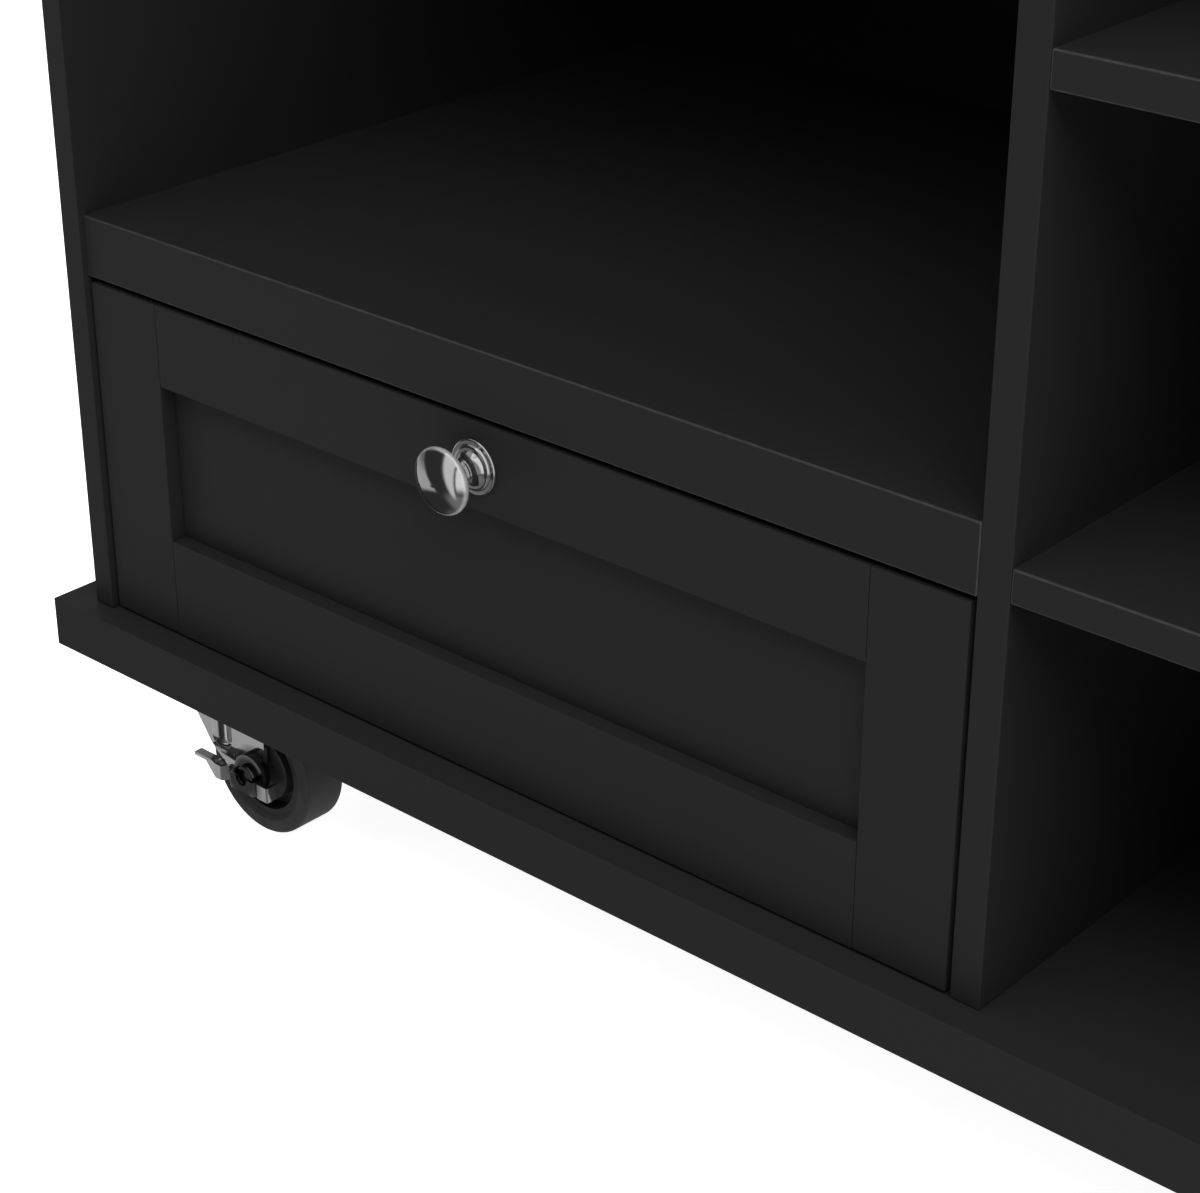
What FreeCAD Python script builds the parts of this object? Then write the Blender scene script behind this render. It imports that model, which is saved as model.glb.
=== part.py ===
import FreeCAD
import Part
import math
import os

# Kitchen island cart: a painted carcass on four swivel casters, with a wooden worktop.
# Millimetres. +Z is up, the front faces -Y, X runs along the front.
# The origin is on the floor under the middle of the worktop.

V = FreeCAD.Vector
X_AXIS = V(1, 0, 0)
Y_AXIS = V(0, 1, 0)
Z_AXIS = V(0, 0, 1)

# ---- worktop and overall height
overall_height = 914.0
worktop_width = 1016.0
worktop_depth = 508.0
worktop_thickness = 25.0
worktop_edge_radius = 3.0

# ---- carcass
board = 15.0                    # divider and shelves
side_thickness = 13.4
back_thickness = 5.0
base_thickness = 27.2
base_overhang_side = 19.8       # base board beyond the side panels
base_overhang_front = 15.8      # base board ahead of the shelf and drawer fronts
side_proud = 3.0                # side panel edges ahead of the shelf and drawer fronts
inner_depth = 450.0             # front plane to back panel
left_bay_width = 536.2
base_width = 1000.0
microwave_shelf_rise = 185.8    # base top to the microwave shelf's underside
microwave_shelf_thickness = 31.8
first_shelf_rise = 188.0        # base top to the first open shelf's underside
shelf_pitch = 200.3
top_rail_depth = 60.0

# ---- drawers
front_thickness = 18.0
front_side_gap = 2.35
front_top_gap = 3.0
front_bottom_gap = 1.6
stile_width = 48.0
top_rail_height = 43.4
bottom_rail_height = 52.8
upper_bottom_rail_height = 43.4
panel_recess = 9.0
panel_thickness = 6.0
panel_tongue = 6.0              # how far the panel runs into its frame
seam_gap = 0.3                  # open joint line between stile and rail
box_side_gap = 13.0             # room for a runner between box and carcass
box_wall = 12.0
box_length = 400.0
box_floor = 5.0
box_floor_rise = 8.0
box_rise = 20.0                 # front's lower edge to the box's lower edge
bottom_box_height = 120.0
upper_box_height = 92.0

# ---- drawer runners, nested steel channels
runner_length = 380.0
runner_sheet = 1.2
outer_runner_height = 35.0
outer_runner_depth = 10.0
inner_runner_height = 24.0
inner_runner_reach = 9.0
runner_rise = 22.0              # box's lower edge to the runner's lower edge

# ---- knobs, a domed head on a waisted neck over a stepped rose
knob_head_radius = 16.0
knob_head_plane = 21.1          # from the drawer front to the head's widest circle
knob_rim_radius = 1.9           # rounding of the head's rim
knob_dome_angle = math.radians(34.4)
knob_waist_radius = 6.2
knob_foot_radius = 8.4
rose_radius = 13.5
rose_edge = 1.7                 # thickness of the rose's outer step
rose_thickness = 3.0
knob_bore_radius = 2.0
knob_screw_head_radius = 4.0
knob_screw_head_height = 2.5
knob_screw_reach = 8.0

# ---- casters
caster_height = 96.0            # floor to the base board's underside
wheel_radius = 37.5
tyre_width = 26.0
tyre_shoulder = 2.0
tyre_inner_radius = 27.0
rim_wall = 3.0
rim_width = 22.0
hub_web = 5.0
hub_drum_radius = 18.4
hub_drum_width = 23.0
hub_drum_round = 1.0
hub_boss_radius = 9.0
hub_length = 26.8
trail = 28.0                    # swivel axis to axle
fork_outer = 32.0
fork_sheet = 2.2
fork_top = 82.5                 # underside of the turntable
fork_lead = 24.0                # leading edge ahead of the swivel axis
fork_heel = 7.5                 # trailing edge behind the axle
fork_foot = 29.6                # lowest edge of the legs
rib_centre = 1.4                # behind the swivel axis
rib_half_width = 8.4
rib_stand = 3.0
rib_foot = 50.0
fork_bend = 3.5                 # rounding between top plate and legs
turntable_radius = 21.0
turntable_top = 88.5
race_radius = 24.0
race_gap = 0.5
race_chamfer = 1.2
plate_length = 92.0
plate_width = 67.0
plate_thickness = 2.5
plate_corner = 6.0
plate_screw_dx = 75.0
plate_screw_dy = 45.0
screw_radius = 2.5
screw_head_radius = 4.5
screw_head_height = 2.4
screw_head_round = 1.4
screw_length = 18.0
axle_radius = 4.0
kingpin_radius = 5.0
kingpin_head_radius = 8.0
kingpin_head_height = 2.5
fit = 0.06                      # radial clearance of a running fit
caster_inset_x = 76.2           # swivel axis from the end of the base board
caster_inset_y = 59.8           # swivel axis from the base board's front edge

axle_head_radius = 6.5
axle_head_height = 2.2
axle_head_round = 1.2
nut_thickness = 5.0
nut_across_flats = 13.0
thread_end = 1.5                # thread beyond the nut

# ---- brake lever, a corrugated steel strip on a cam disc
lever_sheet = 1.8
lever_height = 8.6
lever_top = 38.2
cam_radius = 11.5
cam_gap = 0.3
cam_front = -21.2               # front face of the cam disc, from the wheel's middle plane

# ---- heights and planes worked out from the above
base_top = caster_height + base_thickness
carcass_top = overall_height - worktop_thickness
front_y = -(inner_depth + back_thickness + side_proud) / 2 + side_proud
back_y = front_y + inner_depth
rear_y = back_y + back_thickness
panel_front_y = front_y - side_proud
base_front_y = front_y - base_overhang_front
side_outer_x = base_width / 2 - base_overhang_side
side_inner_x = side_outer_x - side_thickness
divider_left = -side_inner_x + left_bay_width
divider_right = divider_left + board
microwave_shelf_under = base_top + microwave_shelf_rise
microwave_shelf_top = microwave_shelf_under + microwave_shelf_thickness
first_shelf_under = base_top + first_shelf_rise
second_shelf_under = first_shelf_under + shelf_pitch
deck_under = second_shelf_under + shelf_pitch
deck_top = deck_under + board
top_rail_under = carcass_top - board


def box(x0, x1, y0, y1, z0, z1):
    return Part.makeBox(x1 - x0, y1 - y0, z1 - z0, V(x0, y0, z0))


def rod(radius, start, end, axis=Z_AXIS, centre=(0.0, 0.0)):
    """A cylinder from start to end along X, Y or Z; centre is in the other two axes."""
    if axis is Z_AXIS:
        base = V(centre[0], centre[1], start)
    elif axis is Y_AXIS:
        base = V(centre[0], start, centre[1])
    else:
        base = V(start, centre[0], centre[1])
    return Part.makeCylinder(radius, end - start, base, axis)


def save(node, *solids):
    shape = solids[0] if len(solids) == 1 else Part.makeCompound(list(solids))
    shape.exportStep("parts/" + node + ".step")


def prism(points, start, length):
    """Extrude a closed outline of (x, z) points along +Y from y = start."""
    wire = Part.makePolygon([V(x, start, z) for x, z in points + points[:1]])
    return Part.Face(wire).extrude(V(0, length, 0))


def revolve_about_y(edges):
    """Spin a closed profile drawn in the XY plane (x is the radius) about the Y axis."""
    return Part.Face(Part.Wire(edges)).revolve(V(0, 0, 0), Y_AXIS, 360)


def line(a, b):
    return Part.LineSegment(V(a[0], a[1], 0), V(b[0], b[1], 0)).toShape()


def arc(a, through, b):
    return Part.Arc(V(a[0], a[1], 0), V(through[0], through[1], 0), V(b[0], b[1], 0)).toShape()


# ---------------------------------------------------------------- casters

def caster_places():
    x = base_width / 2 - caster_inset_x
    y_front = base_front_y + caster_inset_y
    y_rear = -base_front_y - caster_inset_y
    return {
        "front_left": (-x, y_front),
        "front_right": (x, y_front),
        "rear_left": (-x, y_rear),
        "rear_right": (x, y_rear),
    }


def plate_screw_points():
    return [(sx * plate_screw_dx / 2, sy * plate_screw_dy / 2) for sx in (-1, 1) for sy in (-1, 1)]


def caster_plate():
    under = caster_height - plate_thickness
    plate = box(-plate_length / 2, plate_length / 2, -plate_width / 2, plate_width / 2, under, caster_height)
    upright = [e for e in plate.Edges if abs(e.BoundBox.ZLength - plate_thickness) < 0.01]
    plate = plate.makeFillet(plate_corner, upright)
    race_under = turntable_top + race_gap
    race = rod(race_radius, race_under, under)
    race = race.makeChamfer(race_chamfer, [e for e in race.Edges if e.BoundBox.ZMax < race_under + 0.01])
    plate = plate.fuse(race).removeSplitter()
    plate = plate.cut(rod(kingpin_radius, race_under - 1, caster_height + 1))
    for x, y in plate_screw_points():
        plate = plate.cut(rod(screw_radius, under - 1, caster_height + 1, centre=(x, y)))
    return plate


def kingpin():
    head_top = fork_top - fork_sheet - cam_gap
    pin = rod(kingpin_radius, head_top, caster_height)
    head = rod(kingpin_head_radius, head_top - kingpin_head_height, head_top)
    return pin.fuse(head).removeSplitter()


def caster_screw(x, y):
    under = caster_height - plate_thickness
    shank = rod(screw_radius, under, under + screw_length, centre=(x, y))
    head = rod(screw_head_radius, under - screw_head_height, under, centre=(x, y))
    crown = [e for e in head.Edges if e.BoundBox.ZMax < under - screw_head_height + 0.01]
    head = head.makeFillet(screw_head_round, crown)
    return shank.fuse(head).removeSplitter()


def rib(side):
    """A round-nosed stiffening rib pressed outwards from the middle of the leg."""
    radius = (rib_half_width ** 2 + rib_stand ** 2) / (2 * rib_stand)
    y = side * (fork_outer / 2 + rib_stand - radius)
    bar = rod(radius, rib_foot, fork_top - 4.0, centre=(rib_centre, y))
    bar = bar.fuse(Part.makeSphere(radius, V(rib_centre, y, rib_foot)))
    inner = fork_outer / 2 - 0.2
    keep = box(rib_centre - radius, rib_centre + radius, inner, inner + radius, rib_foot - radius, fork_top)
    if side < 0:
        keep = keep.mirror(V(0, 0, 0), Y_AXIS)
    return bar.common(keep)


def fork():
    """Two legs under a top plate, raked at the front, with a turntable on top."""
    heel = trail + fork_heel
    brow = (-fork_lead, 66.3)
    knee = (-6.1, 40.8)
    toe = (9.0, fork_foot)
    outline = [(-fork_lead, fork_top), brow, knee, toe, (heel, fork_foot), (heel, 62.0), (24.0, fork_top)]
    half = fork_outer / 2
    shell = prism(outline, -half, fork_outer)
    for (x, z), radius in ((brow, 30.0), (knee, 30.0), (toe, 10.0), ((heel, fork_foot), 2.0)):
        corner = [e for e in shell.Edges if e.BoundBox.YLength > fork_sheet
                  and abs(e.BoundBox.XMin - x) + abs(e.BoundBox.ZMin - z) < 0.01]
        shell = shell.makeFillet(radius, corner)
    edges = [e for e in shell.Edges if e.BoundBox.ZMin > fork_top - 0.01 and e.BoundBox.XLength > 40]
    shell = shell.makeFillet(fork_bend, edges)
    inner = half - fork_sheet
    shell = shell.cut(box(-60, 80, -inner, inner, 0, fork_top - fork_sheet))
    shell = shell.fuse([rib(-1), rib(1)]).removeSplitter()
    turntable = rod(turntable_radius, fork_top, turntable_top)
    shell = shell.fuse(turntable).removeSplitter()
    shell = shell.cut(rod(kingpin_radius + fit, 60, 100))
    return shell.cut(rod(axle_radius, -40, 40, Y_AXIS, (trail, wheel_radius)))


def axle(braked):
    """A bolt along Y: a round head in front, a hexagonal nut behind."""
    centre = (trail, wheel_radius)
    half = fork_outer / 2
    seat = cam_front - cam_gap if braked else -half
    shaft = rod(axle_radius, seat, half + nut_thickness + thread_end, Y_AXIS, centre)
    head = rod(axle_head_radius, seat - axle_head_height, seat, Y_AXIS, centre)
    crown = [e for e in head.Edges if e.BoundBox.YMax < seat - axle_head_height + 0.01]
    head = head.makeFillet(axle_head_round, crown)
    corner = nut_across_flats / math.sqrt(3)
    turns = [math.radians(60 * k) for k in range(6)]
    nut = prism([(trail + corner * math.cos(t), wheel_radius + corner * math.sin(t)) for t in turns],
                half, nut_thickness)
    return shaft.fuse([head, nut]).removeSplitter()


def tyre():
    half = tyre_width / 2
    flat = half - tyre_shoulder
    crown = wheel_radius - tyre_shoulder
    bulge = tyre_shoulder * math.sqrt(0.5)
    edges = [
        line((tyre_inner_radius, -rim_width / 2), (tyre_inner_radius, rim_width / 2)),
        line((tyre_inner_radius, rim_width / 2), (tyre_inner_radius + rim_wall, half)),
        line((tyre_inner_radius + rim_wall, half), (crown, half)),
        arc((crown, half), (crown + bulge, flat + bulge), (wheel_radius, flat)),
        line((wheel_radius, flat), (wheel_radius, -flat)),
        arc((wheel_radius, -flat), (crown + bulge, -flat - bulge), (crown, -half)),
        line((crown, -half), (tyre_inner_radius + rim_wall, -half)),
        line((tyre_inner_radius + rim_wall, -half), (tyre_inner_radius, -rim_width / 2)),
    ]
    return revolve_about_y(edges)


def hub():
    rim = rod(tyre_inner_radius, -rim_width / 2, rim_width / 2, Y_AXIS)
    rim = rim.cut(rod(tyre_inner_radius - rim_wall, -rim_width / 2, rim_width / 2, Y_AXIS))
    web = rod(tyre_inner_radius - rim_wall, -hub_web / 2, hub_web / 2, Y_AXIS)
    drum = rod(hub_drum_radius, -hub_drum_width / 2, hub_drum_width / 2, Y_AXIS)
    drum = drum.makeFillet(hub_drum_round, [e for e in drum.Edges if e.BoundBox.YLength < 0.01])
    boss = rod(hub_boss_radius, -hub_length / 2, hub_length / 2, Y_AXIS)
    wheel = rim.fuse([web, drum, boss]).removeSplitter()
    return wheel.cut(rod(axle_radius + fit, -hub_length, hub_length, Y_AXIS))


def lever():
    """Pressed strip seen from above as (x, y) from the axle, with a foot tab at its outer end."""
    course = [(-34.0, -21.5), (-21.5, -25.2), (-17.6, -25.2), (-14.0, -20.6), (-10.4, -20.6), (-8.4, -26.0),
              (8.4, -26.0), (10.2, -22.6), (11.8, -25.2), (18.6, -25.2), (18.6, -17.4)]
    half = lever_sheet / 2
    z0 = lever_top - lever_height
    solids = []
    for (xa, ya), (xb, yb) in zip(course, course[1:]):
        run = math.hypot(xb - xa, yb - ya)
        strip = Part.makeBox(run, lever_sheet, lever_height, V(0, -half, z0))
        strip.rotate(V(0, 0, 0), Z_AXIS, math.degrees(math.atan2(yb - ya, xb - xa)))
        strip.translate(V(xa, ya, 0))
        solids.append(strip)
    for x, y in course[1:-1]:
        solids.append(rod(half, z0, lever_top, centre=(x, y)))
    tab = box(-40.0, -21.0, -24.6, -19.4, lever_top - lever_sheet, lever_top)
    disc = rod(cam_radius, cam_front, -(fork_outer / 2 + cam_gap), Y_AXIS, (0, wheel_radius))
    body = disc.fuse(solids + [tab]).removeSplitter()
    lower = prism([(-60, 0), (-60, 34.6), (-36.0, 35.6), (-22.0, 29.4), (-22.0, 0)], -60, 60)
    body = body.cut(lower)
    return body.cut(rod(axle_radius + fit, -40, 0, Y_AXIS, (0, wheel_radius)))


def make_casters():
    places = caster_places()
    plates = []
    screws = []
    kingpins = []
    for name, (x, y) in places.items():
        here = V(x, y, 0)
        at_axle = V(x + trail, y, 0)
        braked = name.startswith("front")
        plates.append(caster_plate().translated(here))
        kingpins.append(kingpin().translated(here))
        screws += [caster_screw(x + dx, y + dy) for dx, dy in plate_screw_points()]
        save(name + "_caster_fork", fork().translated(here))
        save(name + "_caster_axle", axle(braked).translated(here))
        save(name + "_caster_tyre", tyre().translated(at_axle + V(0, 0, wheel_radius)))
        save(name + "_caster_hub", hub().translated(at_axle + V(0, 0, wheel_radius)))
        if braked:
            save(name + "_brake_lever", lever().translated(at_axle))
    save("caster_plates", *plates)
    save("caster_kingpins", *kingpins)
    save("caster_screws", *screws)


# ---------------------------------------------------------------- carcass

def make_carcass():
    half_base = base_width / 2
    base = box(-half_base, half_base, base_front_y, -base_front_y, caster_height, base_top)
    screw_top = caster_height - plate_thickness + screw_length
    for x, y in caster_places().values():
        for dx, dy in plate_screw_points():
            base = base.cut(rod(screw_radius, caster_height - 1, screw_top, centre=(x + dx, y + dy)))
    save("base_board", base)

    save("left_side_panel", box(-side_outer_x, -side_inner_x, panel_front_y, rear_y, base_top, carcass_top))
    save("right_side_panel", box(side_inner_x, side_outer_x, panel_front_y, rear_y, base_top, carcass_top))
    save("divider_panel", box(divider_left, divider_right, front_y, back_y, base_top, carcass_top))
    save("back_panel", box(-side_inner_x, side_inner_x, back_y, rear_y, base_top, carcass_top))
    save("microwave_shelf", box(-side_inner_x, divider_left, front_y, back_y,
                                microwave_shelf_under, microwave_shelf_top))
    for node, under in (("lower_open_shelf", first_shelf_under), ("upper_open_shelf", second_shelf_under)):
        save(node, box(divider_right, side_inner_x, front_y, back_y, under, under + board))

    bays = [(-side_inner_x, divider_left), (divider_right, side_inner_x)]
    save("drawer_decks", *[box(x0, x1, front_y, back_y, deck_under, deck_top) for x0, x1 in bays])
    rail_runs = [(front_y, front_y + top_rail_depth), (back_y - top_rail_depth, back_y)]
    save("top_rails", *[box(x0, x1, y0, y1, top_rail_under, carcass_top)
                        for x0, x1 in bays for y0, y1 in rail_runs])

    half_top = worktop_width / 2
    half_deep = worktop_depth / 2
    top = box(-half_top, half_top, -half_deep, half_deep, carcass_top, overall_height)
    upright = [e for e in top.Edges if e.BoundBox.ZLength > 1]
    top = top.makeFillet(worktop_edge_radius, upright)
    rims = [e for e in top.Edges if e.BoundBox.ZLength < 0.01]
    save("worktop", top.makeFillet(worktop_edge_radius - 1.0, rims))


# ---------------------------------------------------------------- drawers

def knob_rose():
    """Round back plate of the knob, in two steps with rolled edges."""
    return revolve_about_y([
        line((knob_bore_radius, 0), (rose_radius, 0)),
        line((rose_radius, 0), (rose_radius, -rose_edge + 0.8)),
        arc((rose_radius, -rose_edge + 0.8), (rose_radius - 0.3, -rose_edge + 0.2),
            (rose_radius - 0.9, -rose_edge)),
        line((rose_radius - 0.9, -rose_edge), (rose_radius - 2.3, -rose_edge)),
        arc((rose_radius - 2.3, -rose_edge), (rose_radius - 2.9, -rose_thickness + 0.4),
            (rose_radius - 3.9, -rose_thickness)),
        line((rose_radius - 3.9, -rose_thickness), (knob_bore_radius, -rose_thickness)),
        line((knob_bore_radius, -rose_thickness), (knob_bore_radius, 0)),
    ])


def knob_handle():
    """Neck and head in one turning; the dome runs tangent into the rounded rim."""
    rim_centre = knob_head_radius - knob_rim_radius
    dome_radius = rim_centre / math.sin(knob_dome_angle) + knob_rim_radius
    dome_centre = -knob_head_plane + (dome_radius - knob_rim_radius) * math.cos(knob_dome_angle)

    def on_rim(angle):
        return (rim_centre + knob_rim_radius * math.sin(angle),
                -knob_head_plane - knob_rim_radius * math.cos(angle))

    def on_dome(angle):
        return (dome_radius * math.sin(angle), dome_centre - dome_radius * math.cos(angle))

    rim_back = math.radians(150)
    neck_foot = (knob_foot_radius, -rose_thickness)
    waist = (knob_waist_radius, -9.0)
    handle = revolve_about_y([
        arc(neck_foot, (knob_waist_radius + 0.5, -5.4), waist),
        arc(waist, (knob_waist_radius + 2.0, -15.2), on_rim(rim_back)),
        arc(on_rim(rim_back), on_rim(math.pi / 2), on_rim(knob_dome_angle)),
        arc(on_rim(knob_dome_angle), on_dome(knob_dome_angle / 2), on_dome(0)),
        line(on_dome(0), (0, -rose_thickness)),
        line((0, -rose_thickness), neck_foot),
    ])
    return handle.cut(rod(knob_bore_radius, -rose_thickness - knob_screw_reach, 0.0, Y_AXIS))


def knob(x, z):
    """The handle, its rose, and the screw that holds both through the drawer front."""
    screw = rod(knob_bore_radius, -rose_thickness - knob_screw_reach, front_thickness, Y_AXIS)
    head_end = front_thickness + knob_screw_head_height
    head = rod(knob_screw_head_radius, front_thickness, head_end, Y_AXIS)
    screw = screw.fuse(head).removeSplitter()
    place = V(x, front_y, z)
    return [s.translated(place) for s in (knob_handle(), knob_rose(), screw)]


def runner_pair(x0, x1, z, outer):
    """Channels on both sides of a drawer; outer ones face in, inner ones face out."""
    t = runner_sheet
    y0 = front_y + front_thickness + 1.0
    y1 = y0 + runner_length
    pair = []
    for wall, inward in ((x0, 1), (x1, -1)):
        if outer:
            height = outer_runner_height
            reach = (0.0, outer_runner_depth)
            plate_at = (0.0, t)
            low = z
        else:
            height = inner_runner_height
            reach = (box_side_gap - inner_runner_reach, box_side_gap)
            plate_at = (box_side_gap - t, box_side_gap)
            low = z + (outer_runner_height - inner_runner_height) / 2

        def across(a, b, za, zb):
            xa, xb = sorted((wall + inward * a, wall + inward * b))
            return box(xa, xb, y0, y1, za, zb)

        channel = across(plate_at[0], plate_at[1], low, low + height)
        channel = channel.fuse([across(reach[0], reach[1], low, low + t),
                                across(reach[0], reach[1], low + height - t, low + height)])
        pair.append(channel.removeSplitter())
    return pair


def make_drawer(name, bay, opening, bottom_rail, box_height):
    x0 = bay[0] + front_side_gap
    x1 = bay[1] - front_side_gap
    z0 = opening[0] + front_bottom_gap
    z1 = opening[1] - front_top_gap
    y0 = front_y
    y1 = front_y + front_thickness
    inner_x0 = x0 + stile_width
    inner_x1 = x1 - stile_width
    inner_z0 = z0 + bottom_rail
    inner_z1 = z1 - top_rail_height
    panel = box(inner_x0 - panel_tongue, inner_x1 + panel_tongue,
                y0 + panel_recess, y0 + panel_recess + panel_thickness,
                inner_z0 - panel_tongue, inner_z1 + panel_tongue)
    stiles = [box(x0, inner_x0, y0, y1, z0, z1), box(inner_x1, x1, y0, y1, z0, z1)]
    bottom = box(inner_x0 + seam_gap, inner_x1 - seam_gap, y0, y1, z0, inner_z0)
    top = box(inner_x0 + seam_gap, inner_x1 - seam_gap, y0, y1, inner_z1, z1)
    knob_x = (x0 + x1) / 2
    knob_z = (inner_z1 + z1) / 2
    top = top.cut(panel).cut(rod(knob_bore_radius, y0 - 1, y1 + 1, Y_AXIS, (knob_x, knob_z)))
    save(name + "_front_stiles", *[s.cut(panel) for s in stiles])
    save(name + "_front_bottom_rail", bottom.cut(panel))
    save(name + "_front_top_rail", top)
    save(name + "_front_panel", panel)
    save(name + "_knob", *knob(knob_x, knob_z))

    bx0 = bay[0] + box_side_gap
    bx1 = bay[1] - box_side_gap
    bz0 = z0 + box_rise
    bz1 = bz0 + box_height
    by1 = y1 + box_length
    save(name + "_box_sides", box(bx0, bx0 + box_wall, y1, by1, bz0, bz1),
         box(bx1 - box_wall, bx1, y1, by1, bz0, bz1))
    save(name + "_box_back", box(bx0 + box_wall, bx1 - box_wall, by1 - box_wall, by1, bz0, bz1))
    floor_z = bz0 + box_floor_rise
    save(name + "_box_bottom", box(bx0 + box_wall, bx1 - box_wall, y1, by1 - box_wall,
                                   floor_z, floor_z + box_floor))
    runner_z = bz0 + runner_rise
    save(name + "_runners", *runner_pair(bay[0], bay[1], runner_z, False))
    return runner_pair(bay[0], bay[1], runner_z, True)


def make_drawers():
    left_bay = (-side_inner_x, divider_left)
    right_bay = (divider_right, side_inner_x)
    low = (base_top, microwave_shelf_under)
    high = (deck_top, top_rail_under)
    fixed = make_drawer("bottom_drawer", left_bay, low, bottom_rail_height, bottom_box_height)
    fixed += make_drawer("top_left_drawer", left_bay, high, upper_bottom_rail_height, upper_box_height)
    fixed += make_drawer("top_right_drawer", right_bay, high, upper_bottom_rail_height, upper_box_height)
    save("cabinet_runners", *fixed)


os.makedirs("parts", exist_ok=True)
make_carcass()
make_drawers()
make_casters()
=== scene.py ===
import math

import bmesh
import bpy
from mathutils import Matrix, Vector

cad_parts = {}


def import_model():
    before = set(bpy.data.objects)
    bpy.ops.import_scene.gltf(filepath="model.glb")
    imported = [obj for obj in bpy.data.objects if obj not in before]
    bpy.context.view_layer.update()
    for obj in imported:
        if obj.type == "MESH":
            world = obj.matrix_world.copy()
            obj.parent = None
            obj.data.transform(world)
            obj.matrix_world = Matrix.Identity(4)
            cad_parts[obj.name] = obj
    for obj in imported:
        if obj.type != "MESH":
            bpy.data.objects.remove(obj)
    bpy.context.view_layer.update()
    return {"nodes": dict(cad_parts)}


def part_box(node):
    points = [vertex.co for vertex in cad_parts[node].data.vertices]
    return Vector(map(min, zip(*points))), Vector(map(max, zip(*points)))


# Kitchen island cart: black painted carcass, chrome knobs and casters, rubberwood worktop.
# Metres, in the CAD frame: +Z up, the drawer fronts face -Y.

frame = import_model()
nodes = frame["nodes"]

DRAWERS = ("bottom_drawer", "top_left_drawer", "top_right_drawer")
CORNERS = ("front_left", "front_right", "rear_left", "rear_right")

# Rounded arrises: radius on the carcass, on the drawer fronts and on the plywood boxes.
PAINT_ARRIS = 0.0008
FRONT_ARRIS = 0.0005
PLY_ARRIS = 0.0006
ARRIS_SEGMENTS = 2
ARRIS_ANGLE = math.radians(40)
WELD_REACH = 0.00001

# Worktop staves.
STAVE_LENGTH = 0.31
STAVE_WIDTH = 0.0423
GLUE_LINE = 0.00035

# Radii about the knob's axis between which its bead turns part diffuse, so the lamps light it into a
# bright rim line: a painted highlight.
KNOB_BEAD_INNER = 0.0146
KNOB_BEAD_OUTER = 0.0158

# Radii about a wheel's axle: painted shade, near black inside the first, plain plating outside the next
# two.
# The shade's edge wanders by the last.
PIVOT_SHADE_FULL = 0.0085
FORK_SHADE_EDGE = 0.0165
LEVER_SHADE_EDGE = 0.017
SHADE_EDGE_WANDER = 0.002

# Stage: the floor's size and glow, the surround's brightness to the camera, to matt surfaces and
# between its panels in mirrors, and the lamps' common aim and distance.
FLOOR_SIZE = 60.0
FLOOR_GLOW = 1.08
WORLD_SEEN = 0.93
WORLD_LIGHT = 0.02
WORLD_GAPS = 0.03
LIGHT_AIM = Vector((0.0, 0.0, 0.4))
LIGHT_DISTANCE = 3.2

# Name, azimuth and elevation in degrees, size in metres, power in watts.
SOFTBOXES = (
    ("front_left", -45, 37, 1.6, 16.0),
    ("front", 0, 57, 1.6, 22.0),
    ("front_right", 45, 46, 1.6, 59.0),
    ("left_side", -90, 40, 1.6, 30.0),
    ("right_side", 90, 40, 1.6, 72.0),
    ("back", 180, 48, 2.4, 50.0),
)
BOUNCE_SIZE = 7.0
BOUNCE_DEPTH = 0.02
BOUNCE_POWER = 225.0

CAMERA_PLACE = Vector((0.585, -1.023, 0.784))
CAMERA_YAW = math.radians(41.66)
CAMERA_PITCH = math.radians(26.83)
CAMERA_LENS = 82.2
SENSOR_WIDTH = 36.0
CLIP_END = 100.0


# ---------------------------------------------------------------- material helpers

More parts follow.
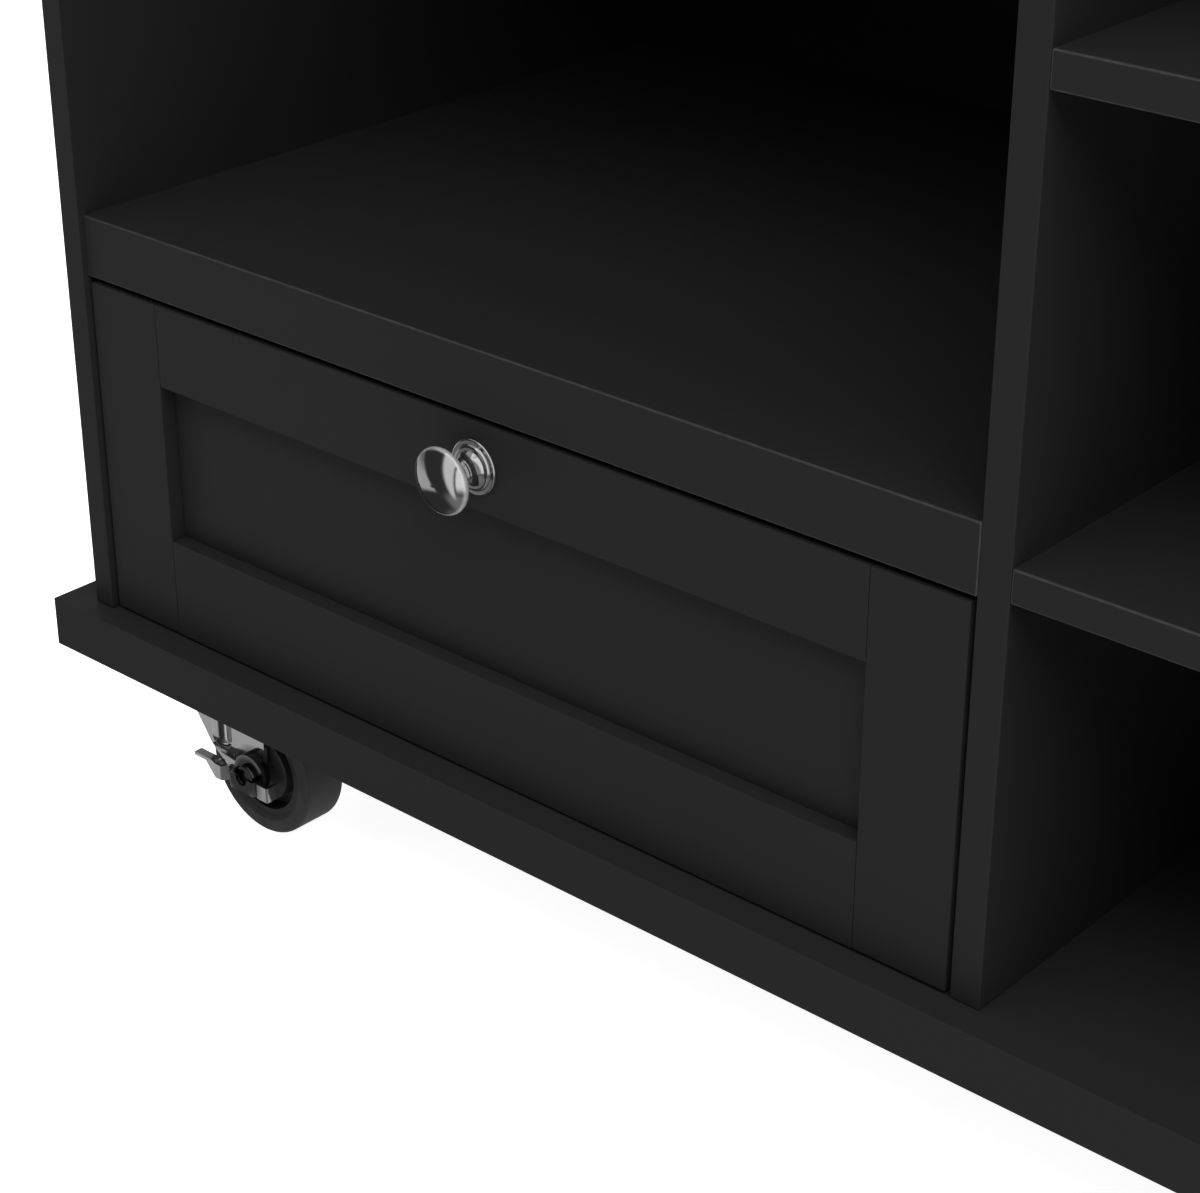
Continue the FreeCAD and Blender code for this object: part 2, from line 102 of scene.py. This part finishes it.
class Graph:
    """A node material around one Principled shader, built with short calls."""

    def __init__(self, name, **sockets):
        self.material = bpy.data.materials.new(name)
        self.material.use_nodes = True
        self.tree = self.material.node_tree
        self.shader = self.tree.nodes["Principled BSDF"]
        for socket, value in sockets.items():
            self.shader.inputs[socket.replace("_", " ")].default_value = value

    def node(self, kind, **settings):
        made = self.tree.nodes.new("ShaderNode" + kind)
        for key, value in settings.items():
            setattr(made, key, value)
        return made

    def wire(self, source, target):
        self.tree.links.new(source, target)

    def feed(self, target, value):
        if isinstance(value, bpy.types.NodeSocket):
            self.wire(value, target)
        else:
            target.default_value = value

    def place(self, scale=(1.0, 1.0, 1.0), shift=(0.0, 0.0, 0.0)):
        """Object coordinates, stretched per axis."""
        coords = self.node("TexCoord")
        mapping = self.node("Mapping")
        mapping.inputs["Scale"].default_value = scale
        mapping.inputs["Location"].default_value = shift
        self.wire(coords.outputs["Object"], mapping.inputs["Vector"])
        return mapping.outputs["Vector"]

    def noise(self, where, scale, detail=3.0, roughness=0.5):
        made = self.node("TexNoise")
        self.wire(where, made.inputs["Vector"])
        made.inputs["Scale"].default_value = scale
        made.inputs["Detail"].default_value = detail
        made.inputs["Roughness"].default_value = roughness
        return made.outputs["Fac"]

    def span(self, value, low, high, from_low=0.0, from_high=1.0):
        made = self.node("MapRange")
        self.wire(value, made.inputs["Value"])
        made.inputs["From Min"].default_value = from_low
        made.inputs["From Max"].default_value = from_high
        made.inputs["To Min"].default_value = low
        made.inputs["To Max"].default_value = high
        return made.outputs["Result"]

    def math(self, operation, a, b=0.0):
        made = self.node("Math", operation=operation)
        self.feed(made.inputs[0], a)
        self.feed(made.inputs[1], b)
        return made.outputs[0]

    def blend(self, factor, a, b):
        made = self.node("Mix", data_type="RGBA")
        self.feed(made.inputs["Factor"], factor)
        self.feed(made.inputs["A"], a)
        self.feed(made.inputs["B"], b)
        return made.outputs["Result"]

    def colour(self, value):
        self.wire(value, self.shader.inputs["Base Color"])

    def roughness(self, value):
        self.wire(value, self.shader.inputs["Roughness"])

    def bump(self, height, distance, strength=1.0):
        made = self.node("Bump")
        made.inputs["Strength"].default_value = strength
        made.inputs["Distance"].default_value = distance
        self.wire(height, made.inputs["Height"])
        self.wire(made.outputs["Normal"], self.shader.inputs["Normal"])


def rgb(r, g, b):
    return (r, g, b, 1.0)


# ---------------------------------------------------------------- materials

def black_paint():
    """Satin lacquer on board: faint cloudiness and roller texture."""
    g = Graph("black_paint", Specular_IOR_Level=0.10)
    where = g.place()
    cloud = g.noise(where, 2.6, detail=2.0)
    fine = g.noise(where, 620.0, detail=2.0)
    coarse = g.noise(where, 95.0, detail=3.0)
    g.colour(g.blend(cloud, rgb(0.0150, 0.0150, 0.0154), rgb(0.0190, 0.0190, 0.0194)))
    g.roughness(g.math("ADD", g.span(cloud, 0.40, 0.50), g.span(coarse, -0.03, 0.03)))
    g.bump(g.math("ADD", fine, g.math("MULTIPLY", coarse, 1.5)), distance=0.00004, strength=0.6)
    return g.material


def edge_highlight_paint():
    """The same lacquer on the arrises, painted lighter: a painted highlight along the edges, stronger and
    shinier in places.
    """
    g = Graph("edge_highlight_paint", Specular_IOR_Level=0.35)
    where = g.place()
    highlight_patches = g.noise(where, 14.0, detail=3.0)
    highlight_specks = g.span(g.noise(where, 260.0, detail=2.0), 0.0, 1.0, 0.45, 0.70)
    # painted highlight: the arrises are coloured lighter than the faces, and noise varies the strength
    highlight_tone = g.blend(highlight_patches, rgb(0.024, 0.024, 0.0245), rgb(0.036, 0.036, 0.0365))
    g.colour(g.blend(highlight_specks, highlight_tone, rgb(0.040, 0.040, 0.040)))
    g.roughness(g.span(highlight_patches, 0.44, 0.30))
    g.bump(highlight_specks, distance=0.00003, strength=0.4)
    return g.material


def stave_pattern(g):
    """Tone of each stave, and how near a glue line is; rows run along X, their ends staggered."""
    where = g.node("SeparateXYZ")
    g.wire(g.place(shift=(0.0, STAVE_WIDTH / 4, 0.0)), where.inputs["Vector"])
    row = g.node("TexWhiteNoise", noise_dimensions="1D")
    g.wire(g.math("FLOOR", g.math("DIVIDE", where.outputs["Y"], STAVE_WIDTH)), row.inputs["W"])
    slid = g.math("ADD", where.outputs["X"], g.math("MULTIPLY", row.outputs["Value"], STAVE_LENGTH))
    laid = g.node("CombineXYZ")
    g.wire(slid, laid.inputs["X"])
    g.wire(where.outputs["Y"], laid.inputs["Y"])
    staves = g.node("TexBrick", offset=0.0, offset_frequency=1, squash=1.0)
    g.wire(laid.outputs["Vector"], staves.inputs["Vector"])
    for socket, value in (
        ("Color1", rgb(0.0, 0.0, 0.0)),
        ("Color2", rgb(1.0, 1.0, 1.0)),
        ("Mortar", rgb(0.5, 0.5, 0.5)),
        ("Scale", 1.0),
        ("Mortar Size", GLUE_LINE),
        ("Mortar Smooth", 0.4),
        ("Bias", 0.0),
        ("Brick Width", STAVE_LENGTH),
        ("Row Height", STAVE_WIDTH),
    ):
        staves.inputs[socket].default_value = value
    return staves.outputs["Color"], staves.outputs["Fac"]


def worktop_wood():
    """Oiled rubberwood, glued from staves."""
    g = Graph("worktop_wood", Specular_IOR_Level=0.45, Coat_Weight=0.12, Coat_Roughness=0.30)
    tone, joint = stave_pattern(g)
    shifted = g.node("VectorMath", operation="ADD")
    g.wire(g.place(scale=(1.6, 26.0, 26.0)), shifted.inputs[0])
    offset = g.node("VectorMath", operation="SCALE")
    g.wire(tone, offset.inputs[0])
    offset.inputs["Scale"].default_value = 17.0
    g.wire(offset.outputs["Vector"], shifted.inputs[1])
    broad = g.noise(shifted.outputs["Vector"], 1.0, detail=5.0, roughness=0.62)
    fibre = g.noise(g.place(scale=(9.0, 240.0, 240.0)), 1.0, detail=4.0, roughness=0.7)
    pale = g.blend(tone, rgb(0.50, 0.30, 0.145), rgb(0.66, 0.44, 0.235))
    dark = g.blend(tone, rgb(0.33, 0.175, 0.075), rgb(0.47, 0.275, 0.125))
    base = g.blend(g.span(broad, 0.0, 1.0, 0.38, 0.66), dark, pale)
    pores = g.span(fibre, 1.0, 0.0, 0.30, 0.42)
    streaked = g.blend(g.math("MULTIPLY", pores, 0.45), base, rgb(0.20, 0.095, 0.040))
    glue = g.math("MULTIPLY", joint, 0.65)
    g.colour(g.blend(glue, streaked, rgb(0.13, 0.065, 0.028)))
    g.roughness(g.span(fibre, 0.30, 0.46, 0.3, 0.7))
    ridges = g.math("SUBTRACT", g.math("MULTIPLY", fibre, 0.5), joint)
    g.bump(ridges, distance=0.00012, strength=0.5)
    return g.material


def drawer_wood(thickness_axis):
    """Birch plywood: calm face grain, and its plies showing on the cut edges."""
    g = Graph("birch_ply_" + "xyz"[thickness_axis], Specular_IOR_Level=0.4)
    stretch = [4.0, 4.0, 4.0]
    stretch[(thickness_axis + 2) % 3] = 55.0
    face = g.noise(g.place(scale=tuple(stretch)), 1.0, detail=5.0, roughness=0.6)
    flecks = g.noise(g.place(scale=(260.0, 40.0, 260.0)), 1.0, detail=2.0)
    light = g.blend(face, rgb(0.55, 0.40, 0.25), rgb(0.70, 0.55, 0.37))
    face_colour = g.blend(g.span(flecks, 0.25, 0.0, 0.30, 0.45), light, rgb(0.36, 0.23, 0.13))
    plies = g.node("TexWave", wave_type="BANDS", bands_direction="XYZ"[thickness_axis], wave_profile="SIN")
    g.wire(g.place(), plies.inputs["Vector"])
    plies.inputs["Scale"].default_value = 105.0
    plies.inputs["Distortion"].default_value = 0.25
    ply_colour = g.blend(g.span(plies.outputs["Fac"], 0.0, 1.0, 0.35, 0.65),
                         rgb(0.30, 0.19, 0.10), rgb(0.64, 0.49, 0.32))
    geometry = g.node("NewGeometry")
    local = g.node("VectorTransform", vector_type="NORMAL", convert_from="WORLD", convert_to="OBJECT")
    g.wire(geometry.outputs["Normal"], local.inputs["Vector"])
    split = g.node("SeparateXYZ")
    g.wire(local.outputs["Vector"], split.inputs["Vector"])
    facing = g.math("GREATER_THAN", g.math("ABSOLUTE", split.outputs["XYZ"[thickness_axis]]), 0.6)
    g.colour(g.blend(facing, ply_colour, face_colour))
    g.roughness(g.span(face, 0.42, 0.58))
    g.bump(flecks, distance=0.00008, strength=0.4)
    return g.material


def plating(name):
    """Slightly rippled chrome; returns its graph, its colour and the haze that varies it."""
    g = Graph(name, Metallic=1.0)
    where = g.place()
    haze = g.noise(where, 38.0, detail=4.0, roughness=0.6)
    g.bump(g.noise(where, 160.0, detail=2.0), distance=0.00002, strength=0.3)
    return g, g.blend(haze, rgb(0.60, 0.60, 0.61), rgb(0.72, 0.72, 0.73)), haze


def off_axis(g, x, z):
    """Distance from a line along Y through (x, z), on the piece itself."""
    length = g.node("VectorMath", operation="LENGTH")
    g.wire(g.place(scale=(1.0, 0.0, 1.0), shift=(-x, 0.0, -z)), length.inputs[0])
    return length.outputs["Value"]


def knob_chrome(name, x, z):
    """Chrome knob with hairline wipe marks, its outer bead made part diffuse: a painted highlight, a
    bright rim line lit by the lamps.
    """
    g, plate, haze = plating(name)
    hairs = g.noise(g.place(scale=(180.0, 1400.0, 1400.0)), 1.0, detail=2.0)
    g.colour(plate)
    g.roughness(g.math("ADD", g.span(haze, 0.05, 0.13), g.span(hairs, 0.0, 0.03)))
    # painted highlight: the bead loses some metal so the lamps light it as a bright rim
    rim_highlight = g.span(off_axis(g, x, z), 0.0, 1.0, KNOB_BEAD_INNER, KNOB_BEAD_OUTER)
    g.wire(g.span(rim_highlight, 1.0, 0.60), g.shader.inputs["Metallic"])
    return g.material


def pivot_chrome(name, x, z, shade_edge):
    """Chrome caster part darkened around its axle, a painted shade out to the radius where the plating is
    plain.
    """
    g, plate, _ = plating(name)
    edge_wobble = g.math("MULTIPLY", g.span(g.noise(g.place(), 420.0), -0.5, 0.5), SHADE_EDGE_WANDER)
    reach = g.math("ADD", off_axis(g, x, z), edge_wobble)
    unshaded = g.span(reach, 0.0, 1.0, PIVOT_SHADE_FULL, shade_edge)
    # painted shade: the plating goes near black towards the axle where the parts meet
    g.colour(g.blend(unshaded, rgb(0.09, 0.09, 0.09), plate))
    g.roughness(g.span(unshaded, 0.22, 0.09))
    return g.material


def zinc_steel():
    """Zinc-plated steel: spangled, lightly drawn along its length."""
    g = Graph("zinc_steel", Metallic=1.0)
    where = g.place()
    spangle = g.node("TexVoronoi", feature="F1")
    g.wire(where, spangle.inputs["Vector"])
    spangle.inputs["Scale"].default_value = 190.0
    drawn = g.noise(g.place(scale=(900.0, 22.0, 900.0)), 1.0, detail=3.0)
    shade = g.node("SeparateColor")
    g.wire(spangle.outputs["Color"], shade.inputs["Color"])
    g.colour(g.blend(shade.outputs["Red"], rgb(0.44, 0.45, 0.46), rgb(0.58, 0.585, 0.59)))
    g.roughness(g.math("ADD", g.span(shade.outputs["Red"], 0.26, 0.40), g.span(drawn, -0.04, 0.06)))
    g.bump(drawn, distance=0.00003, strength=0.5)
    return g.material


def tyre_rubber():
    """Black rubber with a dusty bloom and fine moulding grain."""
    g = Graph("tyre_rubber", Specular_IOR_Level=0.25)
    where = g.place()
    dust = g.noise(where, 70.0, detail=6.0, roughness=0.65)
    grain = g.noise(where, 1500.0, detail=2.0)
    bloom = g.span(dust, 0.0, 1.0, 0.45, 0.80)
    g.colour(g.blend(bloom, rgb(0.024, 0.024, 0.025), rgb(0.040, 0.040, 0.040)))
    g.roughness(g.span(dust, 0.52, 0.74))
    g.bump(g.math("ADD", grain, dust), distance=0.00006, strength=0.5)
    return g.material


def wheel_plastic():
    """Black moulded polypropylene with a spark-eroded texture."""
    g = Graph("wheel_plastic", Specular_IOR_Level=0.4)
    where = g.place()
    spark = g.node("TexVoronoi", feature="SMOOTH_F1")
    g.wire(where, spark.inputs["Vector"])
    spark.inputs["Scale"].default_value = 1400.0
    highlight_paint = g.noise(where, 120.0, detail=4.0)
    g.colour(g.blend(highlight_paint, rgb(0.012, 0.012, 0.013), rgb(0.022, 0.022, 0.023)))
    g.roughness(g.span(highlight_paint, 0.38, 0.56))
    g.bump(spark.outputs["Distance"], distance=0.00005, strength=0.5)
    return g.material


def stage_floor():
    """Pale studio floor that stays bright under the cart's soft shadow."""
    g = Graph("studio_floor", Roughness=0.9, Specular_IOR_Level=0.1)
    mottle = g.noise(g.place(), 0.8, detail=2.0)
    tint = g.blend(mottle, rgb(0.84, 0.84, 0.84), rgb(0.88, 0.88, 0.88))
    g.colour(tint)
    g.wire(tint, g.shader.inputs["Emission Color"])
    g.shader.inputs["Emission Strength"].default_value = FLOOR_GLOW
    return g.material


# ---------------------------------------------------------------- dressing the CAD nodes

def dress(node, material, edge=0.0, highlight_paint=None):
    """Give a CAD node its material and, where edge is set, rounded arrises of that radius.

    The arrises take the painted-highlight material where there is one.
    """
    piece = nodes[node]
    piece.data.materials.clear()
    piece.data.materials.append(material)
    if highlight_paint:
        piece.data.materials.append(highlight_paint)
    if edge:
        weld = piece.modifiers.new("weld", "WELD")
        weld.merge_threshold = WELD_REACH
        bevel = piece.modifiers.new("arris", "BEVEL")
        bevel.width = edge
        bevel.segments = ARRIS_SEGMENTS
        bevel.limit_method = "ANGLE"
        bevel.angle_limit = ARRIS_ANGLE
        bevel.material = 1 if highlight_paint else -1
        normals = piece.modifiers.new("normals", "WEIGHTED_NORMAL")
        normals.keep_sharp = False


def axis_of(node):
    """x and z of a turned piece's own axis, which runs along Y."""
    low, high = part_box(node)
    return (low[0] + high[0]) / 2, (low[2] + high[2]) / 2


paint = black_paint()
edge_highlight = edge_highlight_paint()
for board in ("left_side_panel", "right_side_panel", "divider_panel", "back_panel", "top_rails"):
    dress(board, paint, PAINT_ARRIS)
# these boards' arrises take the lighter paint, a painted highlight along their edges
for board in ("base_board", "microwave_shelf", "lower_open_shelf", "upper_open_shelf", "drawer_decks"):
    dress(board, paint, PAINT_ARRIS, highlight_paint=edge_highlight)
dress("worktop", worktop_wood())

zinc = zinc_steel()
for metal in ("cabinet_runners", "caster_plates", "caster_screws", "caster_kingpins"):
    dress(metal, zinc)

ply = [drawer_wood(axis) for axis in range(3)]
for drawer in DRAWERS:
    for front in ("front_stiles", "front_bottom_rail", "front_top_rail", "front_panel"):
        dress(drawer + "_" + front, paint, FRONT_ARRIS)
    dress(drawer + "_box_sides", ply[0], PLY_ARRIS)
    dress(drawer + "_box_back", ply[1], PLY_ARRIS)
    dress(drawer + "_box_bottom", ply[2])
    dress(drawer + "_runners", zinc)
    dress(drawer + "_knob", knob_chrome(drawer + "_knob_chrome", *axis_of(drawer + "_knob")))

rubber = tyre_rubber()
plastic = wheel_plastic()
for corner in CORNERS:
    pivot = axis_of(corner + "_caster_axle")
    dress(corner + "_caster_fork", pivot_chrome(corner + "_fork_chrome", *pivot, FORK_SHADE_EDGE))
    dress(corner + "_caster_axle", pivot_chrome(corner + "_axle_chrome", *pivot, LEVER_SHADE_EDGE))
    dress(corner + "_caster_tyre", rubber)
    dress(corner + "_caster_hub", plastic)
    if corner.startswith("front"):
        dress(corner + "_brake_lever", pivot_chrome(corner + "_lever_chrome", *pivot, LEVER_SHADE_EDGE))


# ---------------------------------------------------------------- stage, light and camera

def add_object(name, data, place=(0.0, 0.0, 0.0), turn=(0.0, 0.0, 0.0)):
    """New object in the scene at a place, turned by Euler angles."""
    made = bpy.data.objects.new(name, data)
    made.location = place
    made.rotation_euler = turn
    bpy.context.scene.collection.objects.link(made)
    return made


def area_lamp(name, size, power, place, turn):
    """Square area light that mirrors don't show."""
    lamp = bpy.data.lights.new(name, "AREA")
    lamp.size = size
    lamp.energy = power
    holder = add_object(name, lamp, place, turn)
    holder.visible_glossy = False
    return holder


def floor():
    """Wide floor that is seen, but throws no light, shadow or reflection on the cart."""
    mesh = bpy.data.meshes.new("studio_floor")
    build = bmesh.new()
    bmesh.ops.create_grid(build, x_segments=1, y_segments=1, size=FLOOR_SIZE / 2)
    build.to_mesh(mesh)
    build.free()
    mesh.materials.append(stage_floor())
    plane = add_object("studio_floor", mesh)
    plane.visible_glossy = False
    plane.visible_diffuse = False
    plane.visible_shadow = False


def world():
    """Studio surround: plain white to the camera, dim to matt surfaces, panels to mirrors."""
    surround = bpy.data.worlds.new("studio")
    bpy.context.scene.world = surround
    surround.use_nodes = True
    tree = surround.node_tree

    def maths(operation, first, second=0.0):
        made = tree.nodes.new("ShaderNodeMath")
        made.operation = operation
        for socket, value in zip(made.inputs, (first, second)):
            if isinstance(value, bpy.types.NodeSocket):
                tree.links.new(value, socket)
            else:
                socket.default_value = value
        return made.outputs[0]

    def past(value, edge, softness=4.0):
        """0 below an edge, 1 above it, blurred over so many degrees."""
        made = tree.nodes.new("ShaderNodeMapRange")
        made.interpolation_type = "SMOOTHSTEP"
        tree.links.new(value, made.inputs["Value"])
        made.inputs["From Min"].default_value = edge - softness
        made.inputs["From Max"].default_value = edge + softness
        return made.outputs["Result"]

    def under(value, edge, softness=4.0):
        return maths("SUBTRACT", 1.0, past(value, edge, softness))

    def panel(brightness, *limits):
        """One flat grey area of the surround, bounded by the given masks."""
        mask = brightness
        for limit in limits:
            mask = maths("MULTIPLY", limit, mask)
        return mask

    coords = tree.nodes.new("ShaderNodeTexCoord")
    split = tree.nodes.new("ShaderNodeSeparateXYZ")
    tree.links.new(coords.outputs["Generated"], split.inputs["Vector"])
    around = maths("ARCTAN2", split.outputs["X"], maths("MULTIPLY", split.outputs["Y"], -1.0))
    around = maths("DEGREES", around)
    up = maths("DEGREES", maths("ARCSINE", split.outputs["Z"]))

    slant = maths("ADD", around, up)
    leaning = maths("ADD", around, maths("MULTIPLY", up, 0.35))
    panels = (
        # left: a grey flat below the horizon, dimmer above it, and a paler one overhead
        panel(0.42, under(slant, -70.0), past(up, -32.0, 2.5), under(up, -9.0, 9.0),
              past(around, -150.0, 20.0)),
        panel(0.12, under(slant, -70.0), past(up, -9.0, 9.0), past(around, -150.0, 20.0)),
        panel(0.30, past(up, 34.0, 6.0), under(around, -20.0, 12.0)),
        # front and right: two bright panels with a thin dark gap, then the dim right and back
        panel(0.66, past(leaning, -15.0, 4.0), past(up, -38.0, 10.0), under(around, 5.0, 1.5)),
        panel(0.85, past(around, 9.0, 1.5), past(up, -24.0, 10.0), under(around, 62.0, 12.0)),
        panel(0.30, past(around, 70.0, 20.0), past(up, -30.0, 6.0)),
        panel(0.30, under(around, -150.0, 20.0), past(up, -30.0, 6.0)),
        # below: what the floor gives back on each side
        panel(0.16, under(up, -34.0, 8.0), past(around, -18.0, 12.0)),
        panel(0.35, under(up, -32.0, 2.5), under(around, -106.0, 8.0)),
        panel(0.12, under(up, -64.0, 8.0), under(around, -20.0, 20.0)),
        panel(0.38, past(around, 105.0, 12.0), under(up, -30.0, 6.0)),
    )
    mirrored = WORLD_GAPS
    for area in panels:
        mirrored = maths("ADD", area, mirrored)

    path = tree.nodes.new("ShaderNodeLightPath")
    seen = maths("MULTIPLY", path.outputs["Is Camera Ray"], WORLD_SEEN)
    shiny = maths("MULTIPLY", path.outputs["Is Glossy Ray"], mirrored)
    matt = maths("MULTIPLY", path.outputs["Is Diffuse Ray"], WORLD_LIGHT)
    background = tree.nodes["Background"]
    tree.links.new(maths("ADD", seen, maths("ADD", shiny, matt)), background.inputs["Strength"])
    background.inputs["Color"].default_value = rgb(1.0, 1.0, 1.0)


def softbox(name, azimuth, elevation, size, power):
    """Square area light aimed at the cart; azimuth 0 is straight in front, 90 on the +X side."""
    around, up = math.radians(azimuth), math.radians(elevation)
    away = Vector((math.sin(around) * math.cos(up), -math.cos(around) * math.cos(up), math.sin(up)))
    turn = (-away).to_track_quat("-Z", "Y").to_euler()
    area_lamp(name, size, power, LIGHT_AIM + LIGHT_DISTANCE * away, turn)


def bounce():
    """Light that the pale floor throws back up, from a sheet just under it."""
    facing_up = (math.pi, 0.0, 0.0)
    sheet = area_lamp("floor_bounce", BOUNCE_SIZE, BOUNCE_POWER, (0.0, 0.0, -BOUNCE_DEPTH), facing_up)
    sheet.visible_camera = False


def camera():
    """Camera in front of the cart on its right, looking down at its lower left part."""
    lens = bpy.data.cameras.new("camera")
    lens.lens = CAMERA_LENS
    lens.sensor_width = SENSOR_WIDTH
    lens.clip_end = CLIP_END
    turn = (math.pi / 2 - CAMERA_PITCH, 0.0, CAMERA_YAW)
    bpy.context.scene.camera = add_object("camera", lens, CAMERA_PLACE, turn)


floor()
world()
bounce()
for box in SOFTBOXES:
    softbox(*box)
camera()

bpy.context.scene.view_settings.view_transform = "Standard"
